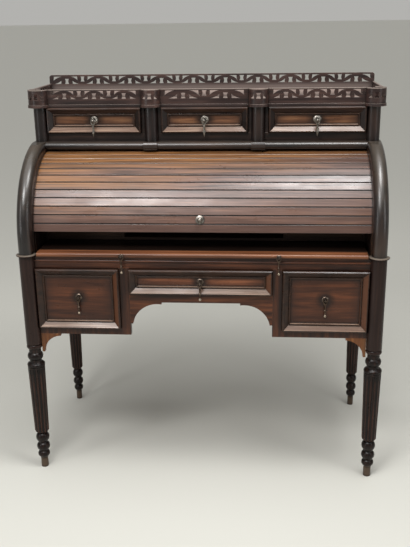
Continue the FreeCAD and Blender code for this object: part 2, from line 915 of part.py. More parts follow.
def pilaster(side):
    """A half-round pilaster on the stile between two drawers."""
    radius = S.pilaster_radius
    section = [(-radius, ZERO, radius, 1), (ZERO, -radius, radius, 1), (radius, ZERO)]
    body = extruded("XY_Plane", upper_top - plinth_top, section)
    return put(body, side * S.pilaster_offset, upper_y, plinth_top)


node("corner_columns", corner_column(-1), corner_column(1))
node("pilasters", pilaster(-1), pilaster(1))

# Roof board and galleries
roof_half = S.post_offset + S.top_overhang
roof_front = upper_y - S.fret_thick


def roof_board():
    """The thin roof with a round lobe over each column and pilaster."""
    radius = S.lobe_radius
    bite = leg_of(radius, S.fret_thick)
    flank = leg_of(radius, S.top_overhang)
    post, pilaster_x = S.post_offset, S.pilaster_offset
    outline = [
        (-roof_half, back_outer),
        (-roof_half, upper_y + flank, radius, 1),
        (-post - radius, upper_y, radius, 1),
        (-post, upper_y - radius, radius, 1),
        (bite - post, roof_front),
        (-pilaster_x - bite, roof_front, radius, 1),
        (-pilaster_x, upper_y - radius, radius, 1),
        (bite - pilaster_x, roof_front),
        (pilaster_x - bite, roof_front, radius, 1),
        (pilaster_x, upper_y - radius, radius, 1),
        (pilaster_x + bite, roof_front),
        (post - bite, roof_front, radius, 1),
        (post, upper_y - radius, radius, 1),
        (post + radius, upper_y, radius, 1),
        (roof_half, upper_y + flank),
        (roof_half, back_outer),
    ]
    return put(extruded("XY_Plane", S.top_thick, outline), z=upper_top)


node("roof_board", roof_board())


def motif(centre, base, height, period, upside):
    """Three openings under one crest of the running wave: a waisted window and two spandrels.

    With upside set to -1 they hang from the top of the band, over a trough.
    """
    start = base if upside > 0 else base + height
    rise = upside * (height - S.fret_wave)
    half = S.fret_window
    waist = (rise * rise / 4 + half * half / 9) / (half * 2 / 3)
    window = [
        (centre - half, start),
        (centre + half, start, waist, -upside),
        (centre + half, start + rise),
        (centre - half, start + rise, waist, -upside),
    ]
    near = half + S.fret_strut
    sides = [spandrel(centre, side, near, base, height, period, upside) for side in (-1, 1)]
    return [window, *sides]


def spandrel(centre, side, near, base, height, period, upside):
    """A three-cornered opening beside a motif's middle, with its long side hollow."""
    start = base if upside > 0 else base + height
    rise = upside * (height - S.fret_wave)
    tip = period / 2 - S.fret_wave
    run = tip - near
    bow = root(run * run + rise * rise) * 1.1
    return [
        (centre + side * near, start),
        (centre + side * tip, start, bow, -side * upside),
        (centre + side * near, start + rise),
    ]


def fret_plate(length, height, band_base, waves, rounded=False):
    """A thin gallery board along X, pierced with a running wave of openings."""
    ends = S.fret_rim
    period = (length - ends * 2) / waves
    if rounded:
        radius = S.gallery_round
        outline = [
            (ZERO, ZERO),
            (length, ZERO),
            (length, height - radius, radius, 1),
            (length - radius, height),
            (radius, height, radius, 1),
            (ZERO, height - radius),
        ]
    else:
        outline = rectangle(ZERO, ZERO, length, height)
    body = extruded("XZ_Plane", S.fret_thick, outline, backwards=True)
    crest = ends + period / 2
    loops = motif(crest, band_base, S.fret_band, period, 1)
    cut = feature(body, "Pocket", draw(body, "XZ_Plane", *loops), S.fret_thick * 2)
    repeat_along(body, cut, period, waves)
    if waves.value > 1:
        loops = motif(crest + period / 2, band_base, S.fret_band, period, -1)
        cut = feature(body, "Pocket", draw(body, "XZ_Plane", *loops), S.fret_thick * 2)
        repeat_along(body, cut, period, waves - 1)
    corners = [
        spandrel(middle, side, S.fret_rim, band_base, S.fret_band, period, -1)
        for middle, side in ((ends, 1), (length - ends, -1))
    ]
    feature(body, "Pocket", draw(body, "XZ_Plane", *corners), S.fret_thick * 2)
    return body


def repeat_along(body, cut, period, count):
    if count.value < 2:
        return
    pattern = body.newObject("PartDesign::LinearPattern", "Waves")
    pattern.Originals = [cut]
    pattern.Direction = (cut.Profile[0], ["H_Axis"])
    pattern.setExpression("Length", (period * (count - 1)).text)
    pattern.setExpression("Occurrences", count.text)
    body.Tip = pattern


def drum_wall(quarters):
    """A thin round wall, drawn a quarter at a time from its left side through the front."""
    compass = [(-1, 0), (0, -1), (1, 0), (0, 1)][: quarters + 1]
    outer, inner = S.drum_radius, S.drum_radius - S.fret_thick
    loop = [(x * outer, y * outer, outer, 1) for x, y in compass[:-1]]
    loop.append((compass[-1][0] * outer, compass[-1][1] * outer))
    back = compass[::-1]
    loop += [(x * inner, y * inner, inner, -1) for x, y in back[:-1]]
    loop.append((back[-1][0] * inner, back[-1][1] * inner))
    return extruded("XY_Plane", S.front_gallery, loop)


def pierce_drum(body, plane):
    """One motif cut through the wall on the side that the plane's normal looks to."""
    period = S.drum_radius * 2
    loops = motif(ZERO, gallery_base, S.fret_band, period, 1)
    feature(body, "Pocket", draw(body, plane, *loops), S.drum_radius * 2, True)


gallery_base = S.front_gallery - S.fret_rim - S.fret_band
plate_y = roof_front + S.gallery_inset
front_gallery = []
front_runs = [
    (-S.post_offset, -S.pilaster_offset, S.outer_waves),
    (-S.pilaster_offset, S.pilaster_offset, S.middle_waves),
    (S.pilaster_offset, S.post_offset, S.outer_waves),
]
for left, right, waves in front_runs:
    run = right - left - S.drum_radius * 2
    plate = fret_plate(run, S.front_gallery, gallery_base, waves)
    front_gallery.append(put(plate, left + S.drum_radius, plate_y, roof_top))
for side in (-1, 1):
    half_drum = drum_wall(2)
    pierce_drum(half_drum, "XZ_Plane")
    front_gallery.append(put(half_drum, side * S.pilaster_offset, upper_y, roof_top))
    corner_drum = drum_wall(3)
    pierce_drum(corner_drum, "XZ_Plane")
    pierce_drum(corner_drum, "YZ_Plane")
    put(corner_drum, side * S.post_offset, upper_y, roof_top)
    if side < 0:
        corner_drum.Placement.Rotation = FreeCAD.Rotation(FreeCAD.Vector(0, 0, 1), -90)
    front_gallery.append(corner_drum)
node("front_gallery", *front_gallery)

rear_plate_y = back_outer - S.fret_thick * 2
side_galleries = []
plate_middle = roof_half - S.gallery_inset - S.fret_thick / 2
plate_inner = S.top_overhang - S.gallery_inset - S.fret_thick
plate_start = upper_y + leg_of(S.drum_radius, plate_inner)
for side in (-1, 1):
    run = rear_plate_y - plate_start
    plate = fret_plate(run, S.front_gallery, gallery_base, S.side_waves)
    plate.Placement.Rotation = FreeCAD.Rotation(FreeCAD.Vector(0, 0, 1), 90)
    plate_x = side * plate_middle + S.fret_thick / 2
    side_galleries.append(put(plate, plate_x, plate_start, roof_top))
node("side_galleries", *side_galleries)

rear_band = S.rear_gallery - S.fret_rim - S.fret_band
rear_gallery = fret_plate(roof_half * 2, S.rear_gallery, rear_band, S.rear_waves, rounded=True)
node("rear_gallery", put(rear_gallery, -roof_half, rear_plate_y, roof_top))


# Drawers
def drawer_front(x, z, plane_y):
    """A drawer front: a raised frame that slopes in, past a thin bead, to its sunk panel."""
    body = new_body()
    proud, width = S.moulding_proud, S.moulding_width
    levels = [
        (ZERO, -S.front_back),
        (ZERO, proud * 0.75),
        (width * 0.1, proud * 0.96),
        (width * 0.2, proud),
        (width * 0.78, proud * 0.2),
        (width * 0.82, proud * 0.4),
        (width * 0.93, proud * 0.36),
        (width, ZERO),
    ]
    sketches = []
    for inset, height in levels:
        loop = rectangle(x[0] + inset, z[0] + inset, x[1] - inset, z[1] - inset)
        sketches.append(draw(body, "XZ_Plane", loop, lift=height))
    loft = body.newObject("PartDesign::AdditiveLoft", "Moulding")
    loft.Profile = sketches[0]
    loft.Sections = sketches[1:]
    loft.Ruled = True
    return put(body, y=plane_y)


def pull_mount(plate, reach):
    """A round plate with a boss, and the cross pin that the drop hangs on."""
    body = new_body()
    boss = S.boss_radius
    nose = reach + boss
    outline = [
        (ZERO, ZERO),
        (ZERO, -nose),
        (boss * 0.7, boss * 0.3 - nose),
        (boss, boss - nose),
        (boss * 0.8, boss * 1.9 - nose),
        (boss * 0.8, -S.front_back / 4),
        (plate * 0.75, -S.front_back / 5),
        (plate, -S.front_back / 12),
        (plate, ZERO),
    ]
    turned(body, "XY_Plane", "V_Axis", outline)
    half = pin_half
    pin = draw_circle(body, "YZ_Plane", -reach, ZERO, S.pin_radius, -half)
    feature(body, "Pad", pin, half * 2)
    return body


prong_inner = S.boss_radius + S.prong_gap
prong_outer = prong_inner + S.prong_thick
pin_half = prong_outer + S.prong_gap


def pull_drop(stem):
    """A forked drop: two prongs with eyes for the pin, a yoke, and a turned stem below."""
    body = new_body()
    head = S.prong_width / 2 + 0.5
    fork = S.prong_drop
    outline = [
        (-prong_outer, head),
        (-prong_outer, -fork * 0.6),
        (-S.stem_radius, -fork * 1.3),
        (S.stem_radius, -fork * 1.3),
        (prong_outer, -fork * 0.6),
        (prong_outer, head),
        (prong_inner, head),
        (prong_inner, -fork * 0.55),
        (ZERO, -fork * 0.9),
        (-prong_inner, -fork * 0.55),
        (-prong_inner, head),
    ]
    sketch = draw(body, "XZ_Plane", outline, lift=-S.prong_width / 2)
    feature(body, "Pad", sketch, S.prong_width)
    eye = draw_circle(body, "YZ_Plane", ZERO, ZERO, S.pin_radius + S.pin_clear, -pin_half)
    feature(body, "Pocket", eye, pin_half * 2, True)
    turned(body, "XZ_Plane", "V_Axis", stem)
    return body


def ball_stem():
    """A thin stem with one small bead and a ball at its end."""
    top, end, slim, ball = -S.prong_drop * 1.2, -S.lower_drop, S.stem_radius, S.tip_radius
    bead = (top + end) / 2
    return [
        (ZERO, top),
        (ZERO, end - ball, ball, 1),
        (ball, end, ball, 1),
        (slim * 0.8, end + leg_of(ball, slim * 0.8)),
        (slim * 0.8, bead - slim * 2),
        (slim * 1.9, bead),
        (slim * 0.9, bead + slim * 2),
        (slim, top),
    ]


def spear_stem():
    """A tapering pendant that swells a little and ends in a point."""
    top, end, slim = -S.prong_drop * 1.2, -S.upper_drop, S.stem_radius
    fall = top - end
    return [
        (ZERO, top),
        (ZERO, end),
        (slim * 0.7, end + fall * 0.08),
        (slim * 1.7, end + fall * 0.35),
        (slim * 1.2, end + fall * 0.7),
        (slim * 1.5, top),
    ]


def add_pull(name, x, y, z, plate, reach, stem):
    node(f"{name}_pull_mount", put(pull_mount(plate, reach), x, y, z))
    node(f"{name}_pull_drop", put(pull_drop(stem), x, y - reach, z))


def add_drawer(name, x, z, plane_y, tail, wall_height, pull):
    """One drawer: its moulded front, its box of boards and its drop pull."""
    gap = S.drawer_gap
    front_x = (x[0] + gap, x[1] - gap)
    front_z = (z[0] + S.running_gap, z[1] - gap)
    node(f"{name}_front", drawer_front(front_x, front_z, plane_y))
    box_y = (plane_y + S.front_back, back_inner - tail)
    box_z = (front_z[0], front_z[0] + wall_height)
    walls = box_boards(front_x, box_y, box_z, S.board_thick, S.bottom_thick)
    node(f"{name}_box", *walls)
    plate, reach, stem, rise = pull
    middle = (x[0] + x[1]) / 2
    add_pull(name, middle, plane_y, (z[0] + z[1]) / 2 + rise, plate, reach, stem)


far_reach = S.moulding_proud + S.tip_radius + S.pull_clear
low_pull = (S.lower_plate, S.near_reach, ball_stem(), S.low_pull_rise)
centre_pull = (S.lower_plate, far_reach, ball_stem(), ZERO)
high_pull = (S.upper_plate, far_reach, spear_stem(), ZERO)
side_z = (opening_bottom, opening_top)
for side, name in ((-1, "left_drawer"), (1, "right_drawer")):
    bay = span(side, stile_outer, post_inner)
    add_drawer(name, bay, side_z, post_y, S.lower_tail, S.side_drawer_wall, low_pull)
knee_x = (-S.stile_inner, S.stile_inner)
knee_z = (centre_bottom, opening_top)
add_drawer("centre_drawer", knee_x, knee_z, post_y, S.lower_tail, S.centre_drawer_wall, centre_pull)
upper_z = (upper_bottom, upper_top)
upper_bays = {
    "upper_left_drawer": (-column_inner, -stile_high),
    "upper_centre_drawer": (-stile_low, stile_low),
    "upper_right_drawer": (stile_high, column_inner),
}
for name, bay in upper_bays.items():
    add_drawer(name, bay, upper_z, upper_y, S.upper_tail, S.upper_drawer_wall, high_pull)

slide_mounts = []
slide_pull_z = slide_low + S.slide_thick / 2
for side in (-1, 1):
    mount = pull_mount(S.slide_plate, S.near_reach)
    slide_mounts.append(put(mount, side * S.slide_pull_x, slide_front, slide_pull_z))
node("slide_pull_mounts", *slide_mounts)
for side, name in ((-1, "left"), (1, "right")):
    drop = pull_drop(ball_stem())
    put(drop, side * S.slide_pull_x, slide_front - S.near_reach, slide_pull_z)
    node(f"slide_pull_{name}", drop)

doc.recompute()
failed = [item for item in doc.Objects if "Invalid" in item.State or "Error" in item.State]
if failed:
    raise RuntimeError([f"{item.Label}: {item.getStatusString()}" for item in failed])
for item in NODES:
    if item.Shape.isNull() or not item.Shape.isValid():
        raise RuntimeError(f"{item.Label} is not a valid solid")

os.makedirs("parts", exist_ok=True)
for item in NODES:
    item.Shape.exportStep(f"parts/{item.Label}.step")
print(f"{len(NODES)} sub-parts, {sum(len(item.Shape.Solids) for item in NODES)} solids")
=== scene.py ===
import json
import math

import bpy
from mathutils import Matrix, Vector


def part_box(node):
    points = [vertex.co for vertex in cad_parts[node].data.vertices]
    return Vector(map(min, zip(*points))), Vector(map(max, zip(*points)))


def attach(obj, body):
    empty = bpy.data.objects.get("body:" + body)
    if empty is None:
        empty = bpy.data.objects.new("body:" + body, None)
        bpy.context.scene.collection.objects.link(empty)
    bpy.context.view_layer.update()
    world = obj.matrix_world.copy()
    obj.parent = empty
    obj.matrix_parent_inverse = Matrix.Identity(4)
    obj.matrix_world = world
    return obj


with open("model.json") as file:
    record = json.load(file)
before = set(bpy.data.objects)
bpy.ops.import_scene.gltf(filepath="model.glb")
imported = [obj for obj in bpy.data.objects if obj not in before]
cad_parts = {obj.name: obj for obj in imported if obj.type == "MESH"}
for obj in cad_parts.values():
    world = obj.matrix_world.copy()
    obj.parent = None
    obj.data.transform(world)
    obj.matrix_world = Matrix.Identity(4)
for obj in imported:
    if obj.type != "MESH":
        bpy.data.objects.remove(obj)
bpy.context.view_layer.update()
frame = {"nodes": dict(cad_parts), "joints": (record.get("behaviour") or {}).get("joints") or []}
NODES = frame["nodes"]
MM = 0.001

# The axes that grain runs along: across the desk, and upright
X = 0
Z = 2

# The photograph's frame, and the camera that took it, in the desk's own frame
IMAGE_HEIGHT_PX = 547
FOCAL_PX = 771.5
SENSOR_MM = 36
CAMERA_AT = (0.2020, -2.5899, 1.4921)
CAMERA_PITCH_DOWN_DEG = 18.216
CAMERA_YAW_DEG = -4.56
CAMERA_ROLL_DEG = -0.84

# How far the floor runs, and where the side lights point
FLOOR_HALF_M = 400.0
SIDE_LIGHT_AIM = (0.0, 0.0, 0.8)

# The drawers, and how far apart in the noise the grain of their fronts is taken
LOWER_DRAWERS = ("centre_drawer", "left_drawer", "right_drawer")
UPPER_DRAWERS = ("upper_left_drawer", "upper_centre_drawer", "upper_right_drawer")
DRAWERS = LOWER_DRAWERS + UPPER_DRAWERS
GRAIN_SHIFT = 17.0

# A drawer front's moulding, and how ragged the dark round behind its pull is
MOULDING_MM = 28
MOULDING_EDGE_MM = 1.5
RAGGED_ROUND_MM = 14

# The tambour's slats, counted up from the lowest
ROLL_AXLE = next(joint["pos_m"] for joint in frame["joints"] if joint["name"] == "tambour_roll")
SLAT_COUNT = 16
SLAT_PITCH_DEG = 6.417
FIRST_SLAT_DEG = 5.7

# How deep the writing slide's front strip runs before the tambour's painted shadow, and how soft that
# shadow's edge is
SHADOW_START_MM = 38
SHADOW_EDGE_MM = 2

# What every old board shares: eased edges, rubbed patches, and pores
EASED_EDGE_MM = 1.6
RUBBED_LENGTH_MM = 90
RUBBED_WIDTH_MM = 40
PORE_LENGTH_MM = 50
PORE_WIDTH_MM = 3.5
PORE_DEPTH_MM = 0.35

# How far into a casting's hollows dirt reaches, and how deep the canvas's threads lie
HOLLOW_MM = 4
THREAD_DEPTH_MM = 0.4

# Where the three tones of a plain grain lie on its fibres, from dark to light
GRAIN_STOPS = (0.30, 0.52, 0.75)

# Heights from the floor between which a leg's finish changes, and how far in its flutes' ridges are rubbed
TOE_WEAR_M = (0.046, 0.030)
SMOOTH_CAP_M = (0.36, 0.39)
POST_TINT_M = (0.44, 0.46)
# Heights where a leg's dust and painted highlight on upward faces grow, towards the waist ring
WAIST_DUST_HIGHLIGHT_M = (0.60, 0.70)
FLUTE_RIDGE_MM = 5

# Heights from the roof board's face between which dust and painted sheen come in, from none to full
ROOF_DUST_SHEEN_MM = (-0.6, -0.3)
FILM_DUST_SHEEN_MM = (54, 34)
FOOT_DUST_SHEEN_MM = (31, 26)

# Depths from the front gallery's top between which its rubbed edge comes in, from none to full
RUBBED_EDGE_MM = (3.2, 1.8)

# Heights from a drop's lowest point between which its bright tip comes in, from none to full
BRIGHT_TIP_MM = (9, 5)

# The flower cast round each upper pull
PETALS = 8
STEPS_ROUND_PETAL = 12
STEPS_ALONG_PETAL = 7
FLOWER_BORE_MM = 4.6
FLOWER_FOOT_MM = 0.4
FLOWER_CROWN_MM = 5.2
PETAL_FOLD_MM = 1.9
PETAL_NOTCH = 0.20
PETAL_ROUNDNESS = 0.6
PETAL_DROP = 0.88
PETAL_CURL = 2.4

# The galleries' fret
FRET_THICK_MM = 6
FRET_RIM_MM = 5.5
FRET_BAND_MM = 26
FRET_WAVE_MM = 8
STRUT_EDGE_MM = 15
DRUM_RADIUS_MM = 34
PILASTER_MM = 180
GALLERY_INSET_MM = 1
FRONT_WAVES = (3, 2, 3)
SIDE_WAVES = 2
REAR_WAVES = 10

# The leaves that fill the corners of the fret's openings
UPPER_LEAF_MM = 4
LOWER_LEAF_MM = 6
LEAF_BOW = 0.45
LEAF_LAP_MM = 1.5
LEAF_SET_BACK_MM = 0.2
LEAF_STEPS = 6

# The numbers of the colour mixer's sockets, several of which share a name
MIX_SHARE = 0
MIX_UNDER = 6
MIX_OVER = 7
MIX_COLOUR = 2


def linear(hex_colour):
    """An sRGB hex colour as the linear red, green, blue and alpha that a shader takes."""
    channels = [int(hex_colour[i:i + 2], 16) / 255 for i in (1, 3, 5)]
    return [c / 12.92 if c <= 0.04045 else ((c + 0.055) / 1.055) ** 2.4 for c in channels] + [1.0]


def add(tree, kind, links=None, stops=(), **settings):
    """Adds one node: settings are its own properties, and links its inputs, by name or number.

    Each link is a value or another node's output. A colour ramp also takes its stops, each a place
    on it and a hex colour.
    """
    node = tree.nodes.new(kind)
    for name, value in settings.items():
        setattr(node, name, value)
    for name, value in (links or {}).items():
        if isinstance(value, bpy.types.NodeSocket):
            tree.links.new(value, node.inputs[name])
        else:
            node.inputs[name].default_value = value
    for index, (place, colour) in enumerate(stops):
        ends = node.color_ramp.elements
        stop = ends[index] if index < len(ends) else ends.new(place)
        stop.position = place
        stop.color = linear(colour)
    return node


def new_material(name):
    """An empty material: returns the material, its tree and its shader node."""
    material = bpy.data.materials.new(name)
    material.use_nodes = True
    return material, material.node_tree, material.node_tree.nodes["Principled BSDF"]


def desk_place(tree):
    """Where a point lies on the desk: X, Y and Z, in metres."""
    places = add(tree, "ShaderNodeTexCoord").outputs["Object"]
    return add(tree, "ShaderNodeSeparateXYZ", {"Vector": places}).outputs


def facing_of(tree):
    """Which way a point's surface faces: X, Y and Z, each from -1 to 1."""
    normal = add(tree, "ShaderNodeNewGeometry").outputs["Normal"]
    return add(tree, "ShaderNodeSeparateXYZ", {"Vector": normal}).outputs


def fibres(tree, along, length_mm, width_mm, shift=0.0):
    """Noise drawn out along one axis, as wood fibres are: one feature is about length by width."""
    places = add(tree, "ShaderNodeTexCoord").outputs["Object"]
    scale = [1 / (width_mm * MM)] * 3
    scale[along] = 1 / (length_mm * MM)
    mapping = add(tree, "ShaderNodeMapping", {"Vector": places, "Scale": scale, "Location": [shift] * 3})
    drawn_out = mapping.outputs["Vector"]
    noise = add(tree, "ShaderNodeTexNoise", {"Vector": drawn_out, "Scale": 1.0, "Detail": 4.0})
    return noise.outputs["Fac"]


def stained(tree, colour, stain, strength, measure, none_at, full_at):
    """A stain over a colour: none where the measure is none_at, full strength where it is full_at.

    The stain is a hex colour, or another node's colour.
    """
    over = linear(stain) if isinstance(stain, str) else stain
    span = {"Value": measure, "From Min": none_at, "From Max": full_at, "To Max": strength}
    share = add(tree, "ShaderNodeMapRange", span).outputs["Result"]
    layers = {MIX_SHARE: share, MIX_UNDER: colour, MIX_OVER: over}
    return add(tree, "ShaderNodeMix", layers, data_type="RGBA").outputs[MIX_COLOUR]


def grained(tree, along, length_mm, width_mm, tones, shift=0.0):
    """Plain grain: a dark, a middle and a light tone, spread over the fibres of a board."""
    fibre = fibres(tree, along, length_mm, width_mm, shift)
    return add(tree, "ShaderNodeValToRGB", {"Fac": fibre}, zip(GRAIN_STOPS, tones)).outputs["Color"]


def streaked(tree, along, shift, tones):
    """The streaks of dark stained walnut: long figure, fine fibres and cloudy patches of old stain."""
    dark, middle, light = tones
    figure = fibres(tree, along, 260, 16, shift)
    fine = fibres(tree, along, 70, 4.5, shift + 2.0)
    streaks = add(tree, "ShaderNodeMath", {0: fine, 1: 0.45, 2: figure}, operation="MULTIPLY_ADD")
    span = {"Value": streaks.outputs[0], "From Min": 0.45, "From Max": 1.0}
    spread = add(tree, "ShaderNodeMapRange", span).outputs["Result"]
    stops = ((0.10, dark), (0.48, middle), (0.88, light))
    colour = add(tree, "ShaderNodeValToRGB", {"Fac": spread}, stops).outputs["Color"]
    cloud = fibres(tree, along, 160, 110, shift + 5.0)
    return stained(tree, colour, dark, 0.55, cloud, 0.50, 0.72)


def aged(tree, shader, colour, along, wear, corner_shade, gloss, shade_reach_mm=22):
    """Wear along edges, pores and an uneven shine, as every old board has, and painted shade that darkens
    its corners and hollows.

    Real pores are too fine for the render, so they are drawn a few millimetres wide.
    """
    # Painted shade: corners and hollows, where little light reaches, are darkened in the colour.
    corner = add(tree, "ShaderNodeAmbientOcclusion", {"Distance": shade_reach_mm * MM}, samples=6).outputs["AO"]
    colour = stained(tree, colour, corner_shade, 0.8, corner, 0.97, 0.45)
    eased = add(tree, "ShaderNodeBevel", {"Radius": EASED_EDGE_MM * MM}, samples=4).outputs["Normal"]
    face = add(tree, "ShaderNodeNewGeometry").outputs["Normal"]
    agree = add(tree, "ShaderNodeVectorMath", {0: eased, 1: face}, operation="DOT_PRODUCT")
    span = {"Value": agree.outputs["Value"], "From Min": 0.985, "From Max": 0.80}
    lean = add(tree, "ShaderNodeMapRange", span).outputs["Result"]
    patchy = fibres(tree, along, RUBBED_LENGTH_MM, RUBBED_WIDTH_MM, shift=7.3)
    rubbed = add(tree, "ShaderNodeMath", {0: lean, 1: patchy}, operation="MULTIPLY").outputs[0]
    colour = stained(tree, colour, wear, 1.0, rubbed, 0.40, 0.62)
    tree.links.new(colour, shader.inputs["Base Color"])
    smooth, rough = gloss - 0.07, gloss + 0.10
    span = {"Value": patchy, "From Min": 0.3, "From Max": 0.7, "To Min": smooth, "To Max": rough}
    shine = add(tree, "ShaderNodeMapRange", span).outputs["Result"]
    tree.links.new(shine, shader.inputs["Roughness"])
    pores = fibres(tree, along, PORE_LENGTH_MM, PORE_WIDTH_MM, shift=3.1)
    relief = {"Strength": 0.25, "Distance": PORE_DEPTH_MM * MM, "Height": pores, "Normal": eased}
    bump = add(tree, "ShaderNodeBump", relief).outputs["Normal"]
    tree.links.new(bump, shader.inputs["Normal"])
    shader.inputs["Specular IOR Level"].default_value = 0.35


def ebonised_wood(name, along, tones, polish, top_highlight):
    """Pear wood stained black and French polished: near black, and brown where it is rubbed.

    Where it faces up, a pale painted highlight lightens it in patches.
    """
    material, tree, shader = new_material(name)
    colour = grained(tree, along, 130, 7, tones)
    colour = stained(tree, colour, "#3f2c21", 0.5, fibres(tree, along, 240, 90, shift=1.7), 0.48, 0.72)
    patch = fibres(tree, along, 120, 60, shift=4.4)
    # Painted highlight: upward faces are lightened pale, in patches.
    upward = facing_of(tree)["Z"]
    highlit_top = add(tree, "ShaderNodeMath", {0: patch, 1: 0.5, 2: upward}, operation="MULTIPLY_ADD")
    colour = stained(tree, colour, "#7d7365", top_highlight, highlit_top.outputs[0], 0.45, 1.05)
    aged(tree, shader, colour, along, "#6d4f3c", "#0b0807", gloss=0.32)
    shader.inputs["Coat Weight"].default_value = polish
    shader.inputs["Coat Roughness"].default_value = 0.27
    return material


def leg_wood(name):
    """Turned wood stained black: rubbed red-brown along the flutes' ridges, and bare at the toes.

    The posts are a little browner, and what faces up is pale with dust and a painted highlight, most of it
    at the waist.
    """
    material, tree, shader = new_material(name)
    colour = grained(tree, Z, 130, 7, ("#0e0a09", "#191210", "#2e1f19"))
    height = desk_place(tree)["Z"]
    colour = stained(tree, colour, "#48312a", 0.2, height, *POST_TINT_M)
    reach = {"Distance": FLUTE_RIDGE_MM * MM}
    ridge = add(tree, "ShaderNodeAmbientOcclusion", reach, samples=8, inside=True).outputs["AO"]
    low, high = SMOOTH_CAP_M
    span = {"Value": height, "From Min": low, "From Max": high, "To Max": 0.6}
    smooth = add(tree, "ShaderNodeMapRange", span).outputs["Result"]
    ridge = add(tree, "ShaderNodeMath", {0: ridge, 1: smooth}, operation="ADD").outputs[0]
    patch = fibres(tree, Z, 70, 25, shift=6.0)
    ridge = add(tree, "ShaderNodeMath", {0: patch, 1: 0.5, 2: ridge}, operation="MULTIPLY_ADD").outputs[0]
    colour = stained(tree, colour, "#543529", 0.7, ridge, 1.16, 0.84)
    colour = stained(tree, colour, "#5a4a3c", 0.8, height, *TOE_WEAR_M)
    # Dust and a painted highlight: faces looking up are lightened, most from the waist ring up.
    low, high = WAIST_DUST_HIGHLIGHT_M
    span = {"Value": height, "From Min": low, "From Max": high, "To Min": -0.35, "To Max": 0.0}
    waist = add(tree, "ShaderNodeMapRange", span).outputs["Result"]
    upward = facing_of(tree)["Z"]
    dust_and_sheen = add(tree, "ShaderNodeMath", {0: upward, 1: waist}, operation="ADD").outputs[0]
    colour = stained(tree, colour, "#857b6e", 0.55, dust_and_sheen, 0.55, 1.0)
    aged(tree, shader, colour, Z, "#6d4f3c", "#070505", gloss=0.30, shade_reach_mm=9)
    shader.inputs["Specular IOR Level"].default_value = 0.22
    return material


def dark_walnut(name, along, shift, tones):
    """Walnut stained dark and waxed: streaked, and warmer where hands have worn its edges."""
    material, tree, shader = new_material(name)
    colour = streaked(tree, along, shift, tones)
    aged(tree, shader, colour, along, "#8e5f3f", "#150d0b", gloss=0.34)
    return material


def fret_walnut(name, tones):
    """Walnut sawn into fretwork and stained: grey along its edges, and its upper edge rubbed pale."""
    material, tree, shader = new_material(name)
    colour = streaked(tree, X, 21.0, tones)
    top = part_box("front_gallery")[1].z
    none_at, full_at = (top - depth * MM for depth in RUBBED_EDGE_MM)
    colour = stained(tree, colour, "#9a8c83", 0.6, desk_place(tree)["Z"], none_at, full_at)
    aged(tree, shader, colour, X, "#8f8074", "#150d0b", gloss=0.34)
    return material


def dust_and_sheen_walnut(name, tones):
    """The fret's walnut near the roof: pale with dust and painted sheen on the roof, and up the foot of the
    rear gallery's front.
    """
    material, tree, shader = new_material(name)
    colour = streaked(tree, X, 23.0, tones)
    height = desk_place(tree)["Z"]
    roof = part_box("roof_board")[1].z
    shares = []
    for none_at, full_at in (ROOF_DUST_SHEEN_MM, FILM_DUST_SHEEN_MM, FOOT_DUST_SHEEN_MM):
        span = {"Value": height, "From Min": roof + none_at * MM, "From Max": roof + full_at * MM}
        shares.append(add(tree, "ShaderNodeMapRange", span).outputs["Result"])
    above, near_roof, foot = shares
    facing = facing_of(tree)
    up_or_front = add(tree, "ShaderNodeMath", {0: facing["Z"], 1: facing["Y"]}, operation="SUBTRACT").outputs[0]
    dust_sheen_share = add(tree, "ShaderNodeMath", {0: above, 1: near_roof}, operation="MULTIPLY").outputs[0]
    dust_sheen_share = add(tree, "ShaderNodeMath", {0: dust_sheen_share, 1: up_or_front}, operation="MULTIPLY").outputs[0]
    # Dust and painted sheen: faces looking up or forward near the roof are greyed pale.
    colour = stained(tree, colour, "#6a5e59", 0.75, dust_sheen_share, 0.2, 0.9)
    foot = add(tree, "ShaderNodeMath", {0: foot, 1: facing["Z"]}, operation="SUBTRACT").outputs[0]
    foot = add(tree, "ShaderNodeMath", {0: foot, 1: dust_sheen_share}, operation="MULTIPLY").outputs[0]
    # Dust and painted sheen: a pale band up the foot of the rear gallery's front.
    colour = stained(tree, colour, "#a09088", 0.85, foot, 0.3, 0.9)
    upward_dust_sheen = add(tree, "ShaderNodeMath", {0: facing["Z"], 1: dust_sheen_share}, operation="MULTIPLY").outputs[0]
    patch = fibres(tree, X, 240, 55, shift=14.0)
    upward_dust_sheen = add(tree, "ShaderNodeMath", {0: upward_dust_sheen, 1: patch}, operation="MULTIPLY").outputs[0]
    # Dust and painted reflection: pale patches on the roof's top.
    colour = stained(tree, colour, "#93857c", 0.75, upward_dust_sheen, 0.22, 0.58)
    aged(tree, shader, colour, X, "#8f8074", "#150d0b", gloss=0.45)
    return material


def pull_seat(drawer):
    """The middle of a pull's plate, where it meets the drawer front."""
    low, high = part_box(f"{drawer}_pull_mount")
    return Vector(((low.x + high.x) / 2, high.y, (low.z + high.z) / 2))


